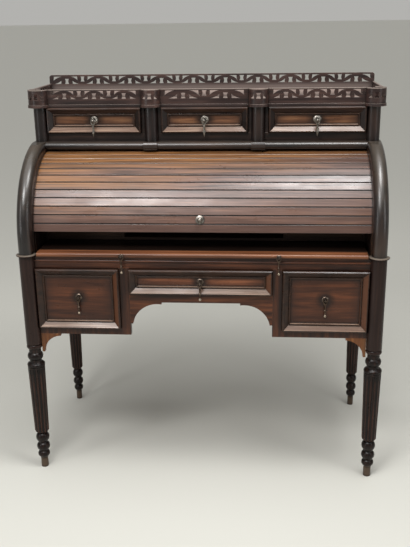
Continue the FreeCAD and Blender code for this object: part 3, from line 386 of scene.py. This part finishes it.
def moulding_colour(tree, middle, shift, right_bevel_light, side_shade):
    """The dark moulding round a drawer front.

    Its side bevels are darkened by painted shade, the right one is reddened by painted light from the left,
    and the lower one is lightened by painted light with streaks of painted highlight.
    """
    place = desk_place(tree)
    facing = facing_of(tree)
    tone = fibres(tree, X, 90, 14, shift + 40.0)
    stops = ((0.3, "#1b110d"), (0.7, "#3a251a"))
    colour = add(tree, "ShaderNodeValToRGB", {"Fac": tone}, stops).outputs["Color"]
    # Painted shade: the side bevels are darkened.
    flank = add(tree, "ShaderNodeMath", {0: facing["X"]}, operation="ABSOLUTE").outputs[0]
    colour = stained(tree, colour, "#0f0b0b", side_shade, flank, 0.15, 0.45)
    # Painted light from the left: the right bevel is reddened.
    right = add(tree, "ShaderNodeMath", {0: place["X"], 1: middle.x}, operation="GREATER_THAN").outputs[0]
    lit_right_bevel = add(tree, "ShaderNodeMath", {0: facing["X"], 1: -1.0, 2: right}, operation="MULTIPLY_ADD")
    colour = stained(tree, colour, "#64391f", right_bevel_light, lit_right_bevel.outputs[0], 1.25, 1.55)
    # Painted light: the lower bevel, facing up, is lightened.
    upper = add(tree, "ShaderNodeMath", {0: place["Z"], 1: middle.z}, operation="GREATER_THAN").outputs[0]
    sunlit = add(tree, "ShaderNodeMath", {0: facing["Z"], 1: upper}, operation="SUBTRACT").outputs[0]
    colour = stained(tree, colour, "#6a5142", 0.85, sunlit, 0.25, 0.55)
    # Painted highlight: pale streaks along the lower bevel.
    lines = fibres(tree, X, 150, 3.0, shift + 8.0)
    bright = add(tree, "ShaderNodeMath", {0: sunlit, 1: lines}, operation="MULTIPLY").outputs[0]
    return stained(tree, colour, "#a58a74", 0.8, bright, 0.30, 0.46)


def drawer_walnut(drawer, shift, tones, round_mm, right_bevel_light, side_shade):
    """Waxed walnut on a drawer front: a panel that darkens to its edges, inside a dark moulding.

    A ragged dark round lies behind the pull.
    """
    material, tree, shader = new_material(f"{drawer}_walnut")
    colour = streaked(tree, X, shift, tones)
    places = add(tree, "ShaderNodeTexCoord").outputs["Object"]
    seat = pull_seat(drawer)
    away = add(tree, "ShaderNodeVectorMath", {0: places, 1: seat}, operation="DISTANCE").outputs["Value"]
    ragged = fibres(tree, X, 25, 12, shift)
    spread = RAGGED_ROUND_MM * MM
    away = add(tree, "ShaderNodeMath", {0: ragged, 1: spread, 2: away}, operation="MULTIPLY_ADD")
    colour = stained(tree, colour, "#1a100c", 0.85, away.outputs[0], round_mm * MM, round_mm * 0.55 * MM)
    low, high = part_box(f"{drawer}_front")
    middle = (low + high) / 2
    outward = add(tree, "ShaderNodeVectorMath", {0: places, 1: middle}, operation="SUBTRACT")
    outward = add(tree, "ShaderNodeVectorMath", {0: outward.outputs["Vector"]}, operation="ABSOLUTE")
    outward = add(tree, "ShaderNodeSeparateXYZ", {"Vector": outward.outputs["Vector"]}).outputs
    moulding = MOULDING_MM * MM
    panel = {"X": (high.x - low.x) / 2 - moulding, "Z": (high.z - low.z) / 2 - moulding}
    for axis, reach in panel.items():
        colour = stained(tree, colour, "#2a1812", 0.65, outward[axis], reach * 0.7, reach)
    colour = stained(tree, colour, "#2a1812", 0.4, desk_place(tree)["Z"], middle.z, low.z + moulding)
    surround = moulding_colour(tree, middle, shift, right_bevel_light, side_shade)
    for axis, reach in panel.items():
        edge = reach + MOULDING_EDGE_MM * MM
        colour = stained(tree, colour, surround, 1.0, outward[axis], reach, edge)
    aged(tree, shader, colour, X, "#7c5a44", "#130b09", gloss=0.30, shade_reach_mm=12)
    return material


def slat_number(tree, arm):
    """How many slats up a point lies, from its arm about the axle: 2.5 is halfway up the third."""
    forward = add(tree, "ShaderNodeMath", {0: arm["Y"], 1: -1.0}, operation="MULTIPLY").outputs[0]
    angle = add(tree, "ShaderNodeMath", {0: arm["Z"], 1: forward}, operation="ARCTAN2").outputs[0]
    first = math.radians(FIRST_SLAT_DEG)
    last = first + SLAT_COUNT * math.radians(SLAT_PITCH_DEG)
    span = {"Value": angle, "From Min": first, "From Max": last, "To Max": SLAT_COUNT}
    return add(tree, "ShaderNodeMapRange", span).outputs["Result"]


def seam_share(tree, slat):
    """How far across its slat a point lies from the slat's middle.

    It counts for less on the upper slats, whose seams are tight.
    """
    across = add(tree, "ShaderNodeMath", {0: slat}, operation="FRACT").outputs[0]
    across = add(tree, "ShaderNodeMath", {0: across, 1: 0.5}, operation="SUBTRACT").outputs[0]
    across = add(tree, "ShaderNodeMath", {0: across}, operation="ABSOLUTE").outputs[0]
    span = {"Value": slat, "From Min": 7.0, "From Max": 11.0, "To Max": 0.05}
    tight = add(tree, "ShaderNodeMapRange", span).outputs["Result"]
    return add(tree, "ShaderNodeMath", {0: across, 1: tight}, operation="SUBTRACT").outputs[0]


def tambour_wood(name):
    """Waxed walnut slats, each from its own board: grain along them, and dark seams between.

    Light has bleached the upper left golden. The right and the lowest slat are darker.
    """
    material, tree, shader = new_material(name)
    places = add(tree, "ShaderNodeTexCoord").outputs["Object"]
    arm = add(tree, "ShaderNodeVectorMath", {0: places, 1: ROLL_AXLE}, operation="SUBTRACT")
    arm = add(tree, "ShaderNodeSeparateXYZ", {"Vector": arm.outputs["Vector"]}).outputs
    slat = slat_number(tree, arm)
    board = add(tree, "ShaderNodeMath", {0: slat}, operation="FLOOR").outputs[0]
    tone = add(tree, "ShaderNodeTexWhiteNoise", {"W": board}, noise_dimensions="1D").outputs["Value"]
    figure = fibres(tree, X, 300, 9)
    fine = fibres(tree, X, 90, 3.5, shift=4.0)
    streaks = add(tree, "ShaderNodeMath", {0: figure, 1: fine}, operation="ADD").outputs[0]
    streaks = add(tree, "ShaderNodeMath", {0: tone, 1: 0.11, 2: streaks}, operation="MULTIPLY_ADD")
    span = {"Value": streaks.outputs[0], "From Min": 0.80, "From Max": 1.40}
    spread = add(tree, "ShaderNodeMapRange", span).outputs["Result"]
    stops = ((0.05, "#34231d"), (0.42, "#594037"), (0.72, "#6d5043"), (0.95, "#836049"))
    colour = add(tree, "ShaderNodeValToRGB", {"Fac": spread}, stops).outputs["Color"]
    patch = fibres(tree, X, 380, 50, shift=31.0)
    light = add(tree, "ShaderNodeMath", {0: patch, 1: 16.0, 2: slat}, operation="MULTIPLY_ADD").outputs[0]
    light = add(tree, "ShaderNodeMath", {0: arm["X"], 1: -6.0, 2: light}, operation="MULTIPLY_ADD")
    colour = stained(tree, colour, "#8a5c2b", 0.72, light.outputs[0], 13.5, 18.5)
    colour = stained(tree, colour, "#3f2c25", 0.4, arm["X"], 0.05, 0.50)
    colour = stained(tree, colour, "#2f1d14", 0.6, figure, 0.50, 0.36)
    # Partly the slats' own tone, partly painted sheen: the lower slats are lightened grey-mauve.
    colour = stained(tree, colour, "#735a50", 0.4, slat, 6.0, 4.0)
    colour = stained(tree, colour, "#4a332c", 0.6, slat, 1.4, 0.8)
    span = {"Value": slat, "From Min": 6.5, "From Max": 9.0, "To Max": 0.17}
    upper = add(tree, "ShaderNodeMapRange", span).outputs["Result"]
    lines = fibres(tree, X, 340, 5, shift=12.0)
    lines = add(tree, "ShaderNodeMath", {0: lines, 1: upper}, operation="SUBTRACT").outputs[0]
    colour = stained(tree, colour, "#3a2518", 0.7, lines, 0.36, 0.27)
    colour = stained(tree, colour, "#0d0807", 0.95, seam_share(tree, slat), 0.40, 0.44)
    aged(tree, shader, colour, X, "#6b4a35", "#0d0807", gloss=0.32, shade_reach_mm=4)
    shader.inputs["Specular IOR Level"].default_value = 0.65
    return material


def slide_wood(name):
    """The writing slide: walnut worn pale and orange by hands at its front, and behind that the tambour's
    shadow, painted dark on the writing surface.
    """
    material, tree, shader = new_material(name)
    colour = grained(tree, X, 320, 9, ("#432717", "#653c25", "#805234"), shift=9.0)
    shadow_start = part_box("writing_slide")[0].y + SHADOW_START_MM * MM
    surface = shadow_start + SHADOW_EDGE_MM * MM
    # Painted shadow: the tambour's shadow darkens the writing surface behind the front strip.
    colour = stained(tree, colour, "#17100d", 0.97, desk_place(tree)["Y"], shadow_start, surface)
    aged(tree, shader, colour, X, "#dcae82", "#21130d", gloss=0.36)
    return material


def plain_wood(name, along, tones):
    """Planed boards that were never polished, bare oak, or stained dark inside, with painted shade: dull
    and dry.
    """
    material, tree, shader = new_material(name)
    colour = grained(tree, along, 280, 18, tones, shift=11.0)
    aged(tree, shader, colour, along, tones[-1], "#140d0a", gloss=0.62)
    return material


def dulled(tree, shader, tones, hollow):
    """What old cast metal has: a cloudy tone and shine, and dark hollows. Returns its colour."""
    shader.inputs["Metallic"].default_value = 1.0
    cloud = fibres(tree, Z, 9, 6)
    stops = zip((0.30, 0.55, 0.80), tones)
    colour = add(tree, "ShaderNodeValToRGB", {"Fac": cloud}, stops).outputs["Color"]
    span = {"Value": cloud, "From Min": 0.3, "From Max": 0.7, "To Min": 0.26, "To Max": 0.44}
    shine = add(tree, "ShaderNodeMapRange", span).outputs["Result"]
    tree.links.new(shine, shader.inputs["Roughness"])
    corner = add(tree, "ShaderNodeAmbientOcclusion", {"Distance": HOLLOW_MM * MM}, samples=6).outputs["AO"]
    return stained(tree, colour, hollow, 0.85, corner, 0.95, 0.45)


def worn_metal(name, tones, hollow):
    """Cast brass, bronze or nickel gone dull: cloudy, with a soft shine and dark hollows."""
    material, tree, shader = new_material(name)
    tree.links.new(dulled(tree, shader, tones, hollow), shader.inputs["Base Color"])
    return material


def drop_bronze(pull):
    """The dark bronze of a drop, bright at the ball: rubbed by fingers there, and with a painted highlight.
    """
    material, tree, shader = new_material(f"{pull}_bronze")
    colour = dulled(tree, shader, ("#3a2e27", "#5c4d43", "#87786c"), "#120d0b")
    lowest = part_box(pull)[0].z
    none_at, full_at = (lowest + height * MM for height in BRIGHT_TIP_MM)
    # Rubbed bronze and painted highlight: the ball at the drop's tip is lightened.
    colour = stained(tree, colour, "#b9ab98", 0.9, desk_place(tree)["Z"], none_at, full_at)
    tree.links.new(colour, shader.inputs["Base Color"])
    return material


def woven_canvas(name):
    """The linen canvas glued behind the slats: a plain weave, dull and grey with dust.

    Real threads are too fine for the render, so they are drawn a few millimetres wide.
    """
    material, tree, shader = new_material(name)
    stops = ((0.30, "#5c564e"), (0.70, "#8a8378"))
    colour = add(tree, "ShaderNodeValToRGB", {"Fac": fibres(tree, X, 60, 60)}, stops).outputs["Color"]
    tree.links.new(colour, shader.inputs["Base Color"])
    threads = fibres(tree, X, 4, 2)
    relief = {"Strength": 0.4, "Distance": THREAD_DEPTH_MM * MM, "Height": threads}
    bump = add(tree, "ShaderNodeBump", relief).outputs["Normal"]
    tree.links.new(bump, shader.inputs["Normal"])
    shader.inputs["Roughness"].default_value = 0.95
    return material


def dress(material, *names):
    """Gives CAD nodes their finish."""
    for name in names:
        slots = NODES[name].data.materials
        slots.clear()
        slots.append(material)


def dress_ebonised():
    """The black pieces: legs, rims, columns and plinth."""
    black = ("#0c0908", "#171110", "#2c201a")
    brown_black = ("#0e0909", "#191110", "#2b1c18")
    dress(leg_wood("ebonised_turning"), "front_legs", "rear_legs")
    dress(ebonised_wood("ebonised_rim", Z, black, polish=0.6, top_highlight=0.20), "cylinder_rims")
    columns = ebonised_wood("ebonised_column", Z, brown_black, polish=0.1, top_highlight=0.1)
    dress(columns, "corner_columns", "pilasters")
    dress(ebonised_wood("ebonised_plinth", X, black, polish=0.5, top_highlight=0.08), "upper_plinth")


def dress_galleries():
    """The fretwork round the top, its leaves, and the roof board that it stands on."""
    tones = ("#1d1413", "#30221f", "#48342e")
    fretwork = fret_walnut("fretwork_walnut", tones)
    dress(fretwork, "front_gallery", "side_galleries")
    dust_and_sheen = dust_and_sheen_walnut("dust_and_sheen_walnut", tones)
    dress(dust_and_sheen, "rear_gallery", "roof_board")
    gallery_leaves(fretwork, dust_and_sheen)


def dress_case():
    """The walnut and oak of the case, the upper stage, the slide and the tambour."""
    frieze = dark_walnut("frieze_walnut", X, 5.0, ("#25130d", "#432416", "#663a23"))
    dress(frieze, "frieze_rail", "kneehole_apron")
    dress(dark_walnut("upper_walnut", X, 9.0, ("#17100e", "#2a1d19", "#432e25")), "upper_frame")
    dress(dark_walnut("cheek_walnut", Z, 11.0, ("#140e0c", "#231814", "#38271f")), "cylinder_ends")
    upright = dark_walnut("walnut_upright", Z, 13.0, ("#1f100b", "#391f14", "#59331f"))
    dress(upright, "case_sides", "drawer_frame", "kneehole_partitions")
    dress(dark_walnut("bracket_walnut", Z, 15.0, ("#4a2915", "#704322", "#8a5a33")), "leg_brackets")
    dress(slide_wood("slide_walnut"), "writing_slide")
    dress(tambour_wood("tambour_walnut"), "tambour_slats")
    dress(woven_canvas("tambour_linen"), "tambour_canvas")
    oak = ("#4e3827", "#6e5239", "#876a4c")
    dress(plain_wood("oak_backs", Z, oak), "case_back", "stage_back")
    boxes = [f"{drawer}_box" for drawer in DRAWERS]
    dress(plain_wood("oak_boxes", X, oak), "drawer_bearers", *boxes)
    # Dark stain and painted shade: the boards inside the closed desk are darkened.
    inside = plain_wood("stained_and_shaded_inside", X, ("#2a1d17", "#3d2b21", "#553d2e"))
    dress(inside, "case_deck", "fitment_boards", "inner_drawer_left", "inner_drawer_right")


def dress_drawer_fronts():
    """The drawer fronts: the upper ones bleached, the lower ones red with painted light on their right
    bevels, the centre lighter.
    """
    bleached = ("#40281b", "#68452f", "#876042")
    red = ("#321a11", "#4b2a1a", "#663a24")
    light_red = ("#4a2a1c", "#6b3f2a", "#875337")
    for index, drawer in enumerate(DRAWERS):
        shift = GRAIN_SHIFT * index
        if drawer in UPPER_DRAWERS:
            finish = drawer_walnut(drawer, shift, bleached, round_mm=46, right_bevel_light=0.0, side_shade=0.75)
        else:
            tones = light_red if drawer == "centre_drawer" else red
            finish = drawer_walnut(drawer, shift, tones, round_mm=42, right_bevel_light=0.6, side_shade=0.15)
        dress(finish, f"{drawer}_front")


def dress_metal():
    """The pulls and knobs, with a flower round each upper pull."""
    brass = worn_metal("aged_brass", ("#5c5750", "#908a82", "#c0bab2"), "#17120f")
    dress(brass, "inner_knob_left", "inner_knob_right")
    dress(worn_metal("knob_nickel", ("#5d5852", "#8f8981", "#bcb6ad"), "#16120f"), "tambour_knob")
    for drawer in UPPER_DRAWERS:
        dress(brass, f"{drawer}_pull_mount", f"{drawer}_pull_drop")
        rosette(drawer, brass)
    drops = [f"{drawer}_pull_drop" for drawer in LOWER_DRAWERS]
    for pull in drops + ["slide_pull_left", "slide_pull_right"]:
        dress(drop_bronze(pull), pull)
    bronze = worn_metal("dark_bronze", ("#443a33", "#665a51", "#897d72"), "#120d0b")
    mounts = [f"{drawer}_pull_mount" for drawer in LOWER_DRAWERS]
    dress(bronze, "slide_pull_mounts", *mounts)


def new_piece(name, points, faces, material):
    """An object with one mesh and one material, in the scene."""
    mesh = bpy.data.meshes.new(name)
    mesh.from_pydata(points, [], faces)
    mesh.materials.append(material)
    piece = bpy.data.objects.new(name, mesh)
    bpy.context.scene.collection.objects.link(piece)
    return piece


def rosette(drawer, metal):
    """The cast flower of an upper pull: petals round the boss, over the mount's plate."""
    low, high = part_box(f"{drawer}_pull_mount")
    middle = pull_seat(drawer)
    inner, outer = FLOWER_BORE_MM * MM, (high.z - low.z) / 2
    foot, crown, fold = FLOWER_FOOT_MM * MM, FLOWER_CROWN_MM * MM, PETAL_FOLD_MM * MM
    turns = PETALS * STEPS_ROUND_PETAL
    points = []
    for turn in range(turns):
        angle = math.tau * turn / turns
        ridge = abs(math.cos(angle * PETALS / 2))
        reach = outer * (1 - PETAL_NOTCH + PETAL_NOTCH * ridge ** PETAL_ROUNDNESS)
        profile = [(inner, foot)]
        for step in range(STEPS_ALONG_PETAL + 1):
            out = step / STEPS_ALONG_PETAL
            rise = (crown - fold * (1 - ridge)) * (1 - PETAL_DROP * out ** PETAL_CURL)
            profile.append((inner + (reach - inner) * out, rise))
        profile.append((reach, foot))
        for radius, rise in profile:
            points.append(middle + Vector((radius * math.sin(angle), -rise, radius * math.cos(angle))))
    ring = len(points) // turns
    faces = []
    for turn in range(turns):
        here, there = turn * ring, (turn + 1) % turns * ring
        for step in range(ring):
            after = (step + 1) % ring
            faces.append((here + step, here + after, there + after, there + step))
    flower = new_piece(f"{drawer}_rosette", points, faces, metal)
    flower.data.shade_smooth()
    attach(flower, drawer)


def leaf_outline(near, width):
    """One leaf beside a strut of the fret, in mm out from the motif's middle and up from the rim.

    It is wide at the rim and bows in towards the wave, and laps into the wood on the other sides.
    """
    rise = FRET_BAND_MM - FRET_WAVE_MM
    shares = [step / LEAF_STEPS for step in range(LEAF_STEPS + 1)]
    flank = [(near + width * (1 - LEAF_BOW * share ** 2), rise * share) for share in shares]
    inside, tip = near - LEAF_LAP_MM, rise + LEAF_LAP_MM
    root = [(inside, -LEAF_LAP_MM), (near + width, -LEAF_LAP_MM)]
    return [*root, *flank, (flank[-1][0], tip), (inside, tip)]


def board_leaves(length, waves):
    """The leaves of one board of the fret, in mm.

    Each is its motif's middle along the board, its side of that, the way it grows, up or down, where
    it starts out from the middle, and its width.
    """
    period = (length - 2 * FRET_RIM_MM) / waves
    lower = [FRET_RIM_MM + period * (wave + 0.5) for wave in range(waves)]
    upper = [FRET_RIM_MM + period * wave for wave in range(1, waves)]
    leaves = [(middle, side, 1, STRUT_EDGE_MM, LOWER_LEAF_MM) for middle in lower for side in (-1, 1)]
    leaves += [(middle, side, -1, STRUT_EDGE_MM, UPPER_LEAF_MM) for middle in upper for side in (-1, 1)]
    leaves.append((FRET_RIM_MM, 1, -1, FRET_RIM_MM, UPPER_LEAF_MM))
    leaves.append((length - FRET_RIM_MM, -1, -1, FRET_RIM_MM, UPPER_LEAF_MM))
    return leaves


def fret_leaves(name, material, boards):
    """The leaves of one gallery, each a small prism through the board.

    Each board is its lower front corner, its run, the way through it, its height in mm and its waves.
    """
    points, faces = [], []
    for corner, run, through, height, waves in boards:
        along = run.normalized()
        for middle, side, upside, near, width in board_leaves(run.length / MM, waves):
            start = height - FRET_RIM_MM - (FRET_BAND_MM if upside > 0 else 0)
            outline = leaf_outline(near, width)[::side * upside]
            first, count = len(points), len(outline)
            for depth in (LEAF_SET_BACK_MM, FRET_THICK_MM - LEAF_SET_BACK_MM):
                for out, up in outline:
                    level = Vector((0, 0, start + upside * up))
                    place = along * (middle + side * out) + through * depth + level
                    points.append(corner + place * MM)
            faces.append(tuple(range(first, first + count)))
            faces.append(tuple(range(first + 2 * count - 1, first + count - 1, -1)))
            for here in range(count):
                after = (here + 1) % count
                faces.append((first + after, first + here, first + count + here, first + count + after))
    piece = new_piece(name, points, faces, material)
    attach(piece, "carcass")


def gallery_leaves(fretwork, dust_and_sheen):
    """The leaves in the straight boards of all the galleries."""
    low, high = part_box("front_gallery")
    side_low, side_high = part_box("side_galleries")
    rear_low, rear_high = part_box("rear_gallery")
    across, back = Vector((1, 0, 0)), Vector((0, 1, 0))
    drum, pilaster = DRUM_RADIUS_MM * MM, PILASTER_MM * MM
    post = high.x - drum
    ends = (-post, -pilaster, pilaster, post)
    front_y = low.y + drum - (FRET_THICK_MM - GALLERY_INSET_MM) * MM
    height = (high.z - low.z) / MM
    front = []
    for left, right, waves in zip(ends, ends[1:], FRONT_WAVES):
        corner = Vector((left + drum, front_y, low.z))
        front.append((corner, across * (right - left - 2 * drum), back, height, waves))
    fret_leaves("front_gallery_leaves", fretwork, front)
    run = back * (side_high.y - side_low.y)
    sides = []
    for x in (side_low.x + FRET_THICK_MM * MM, side_high.x):
        sides.append((Vector((x, side_low.y, low.z)), run, -across, height, SIDE_WAVES))
    fret_leaves("side_gallery_leaves", fretwork, sides)
    run = across * (rear_high.x - rear_low.x)
    rear = (rear_low, run, back, (rear_high.z - rear_low.z) / MM, REAR_WAVES)
    fret_leaves("rear_gallery_leaves", dust_and_sheen, [rear])


def place_camera():
    """The camera, where the photograph was taken from."""
    turns = (CAMERA_PITCH_DOWN_DEG, CAMERA_YAW_DEG, CAMERA_ROLL_DEG)
    pitch, yaw, roll = (math.radians(turn) for turn in turns)
    forward = Vector((math.sin(yaw) * math.cos(pitch), math.cos(yaw) * math.cos(pitch), -math.sin(pitch)))
    level = Vector((math.cos(yaw), -math.sin(yaw), 0))
    above = level.cross(forward)
    right = math.cos(roll) * level + math.sin(roll) * above
    up = math.cos(roll) * above - math.sin(roll) * level
    lens = bpy.data.cameras.new("camera")
    lens.sensor_width = SENSOR_MM
    lens.lens = FOCAL_PX / IMAGE_HEIGHT_PX * SENSOR_MM
    camera = bpy.data.objects.new("camera", lens)
    axes = Matrix((right, up, -forward)).transposed().to_4x4()
    camera.matrix_world = Matrix.Translation(CAMERA_AT) @ axes
    bpy.context.scene.collection.objects.link(camera)
    bpy.context.scene.camera = camera


def softbox(name, place, aim, size, watts):
    """One rectangular studio light."""
    light = bpy.data.lights.new(name, "AREA")
    light.shape = "RECTANGLE"
    light.size, light.size_y = size
    light.energy = watts
    lamp = bpy.data.objects.new(name, light)
    lamp.location = place
    lamp.rotation_euler = (Vector(aim) - Vector(place)).to_track_quat("-Z", "Y").to_euler()
    bpy.context.scene.collection.objects.link(lamp)


def light_stage():
    """A pale surround, brightest at the horizon, and soft light from above and from both sides."""
    world = bpy.data.worlds.new("studio")
    bpy.context.scene.world = world
    world.use_nodes = True
    tree = world.node_tree
    surround = tree.nodes["Background"]
    surround.inputs["Color"].default_value = linear("#e9e8e4")
    towards = add(tree, "ShaderNodeTexCoord").outputs["Generated"]
    height = add(tree, "ShaderNodeSeparateXYZ", {"Vector": towards}).outputs["Z"]
    span = {"Value": height, "From Min": 0.04, "From Max": 0.12, "To Min": 0.55, "To Max": 0.20}
    strength = add(tree, "ShaderNodeMapRange", span).outputs["Result"]
    tree.links.new(strength, surround.inputs["Strength"])
    daylight = bpy.data.lights.new("overhead_daylight", "SUN")
    daylight.energy = 1.6
    daylight.angle = math.radians(70)
    lamp = bpy.data.objects.new("overhead_daylight", daylight)
    lamp.rotation_euler = (math.radians(12), 0, 0)
    bpy.context.scene.collection.objects.link(lamp)
    softbox("left_ceiling_light", (-0.60, -1.80, 2.70), aim=(-0.1, -0.2, 0.8), size=(0.9, 0.6), watts=38)
    softbox("right_ceiling_light", (0.55, -0.60, 2.70), aim=(0.2, -0.2, 0.8), size=(0.9, 0.6), watts=30)
    softbox("left_window", (-2.3, -1.9, 1.5), aim=SIDE_LIGHT_AIM, size=(0.5, 1.7), watts=12)
    softbox("right_window", (2.4, -1.6, 1.6), aim=SIDE_LIGHT_AIM, size=(0.5, 1.5), watts=9)


def lay_floor():
    """A plain pale floor, matt, that runs to the horizon."""
    material, _, shader = new_material("pale_floor")
    shader.inputs["Base Color"].default_value = linear("#c8c7bf")
    shader.inputs["Roughness"].default_value = 0.6
    half = FLOOR_HALF_M
    corners = [(-half, -half, 0), (half, -half, 0), (half, half, 0), (-half, half, 0)]
    floor = new_piece("floor", corners, [(0, 1, 2, 3)], material)


dress_ebonised()
dress_galleries()
dress_case()
dress_drawer_fronts()
dress_metal()
place_camera()
light_stage()
lay_floor()
bpy.context.scene.view_settings.view_transform = "Standard"
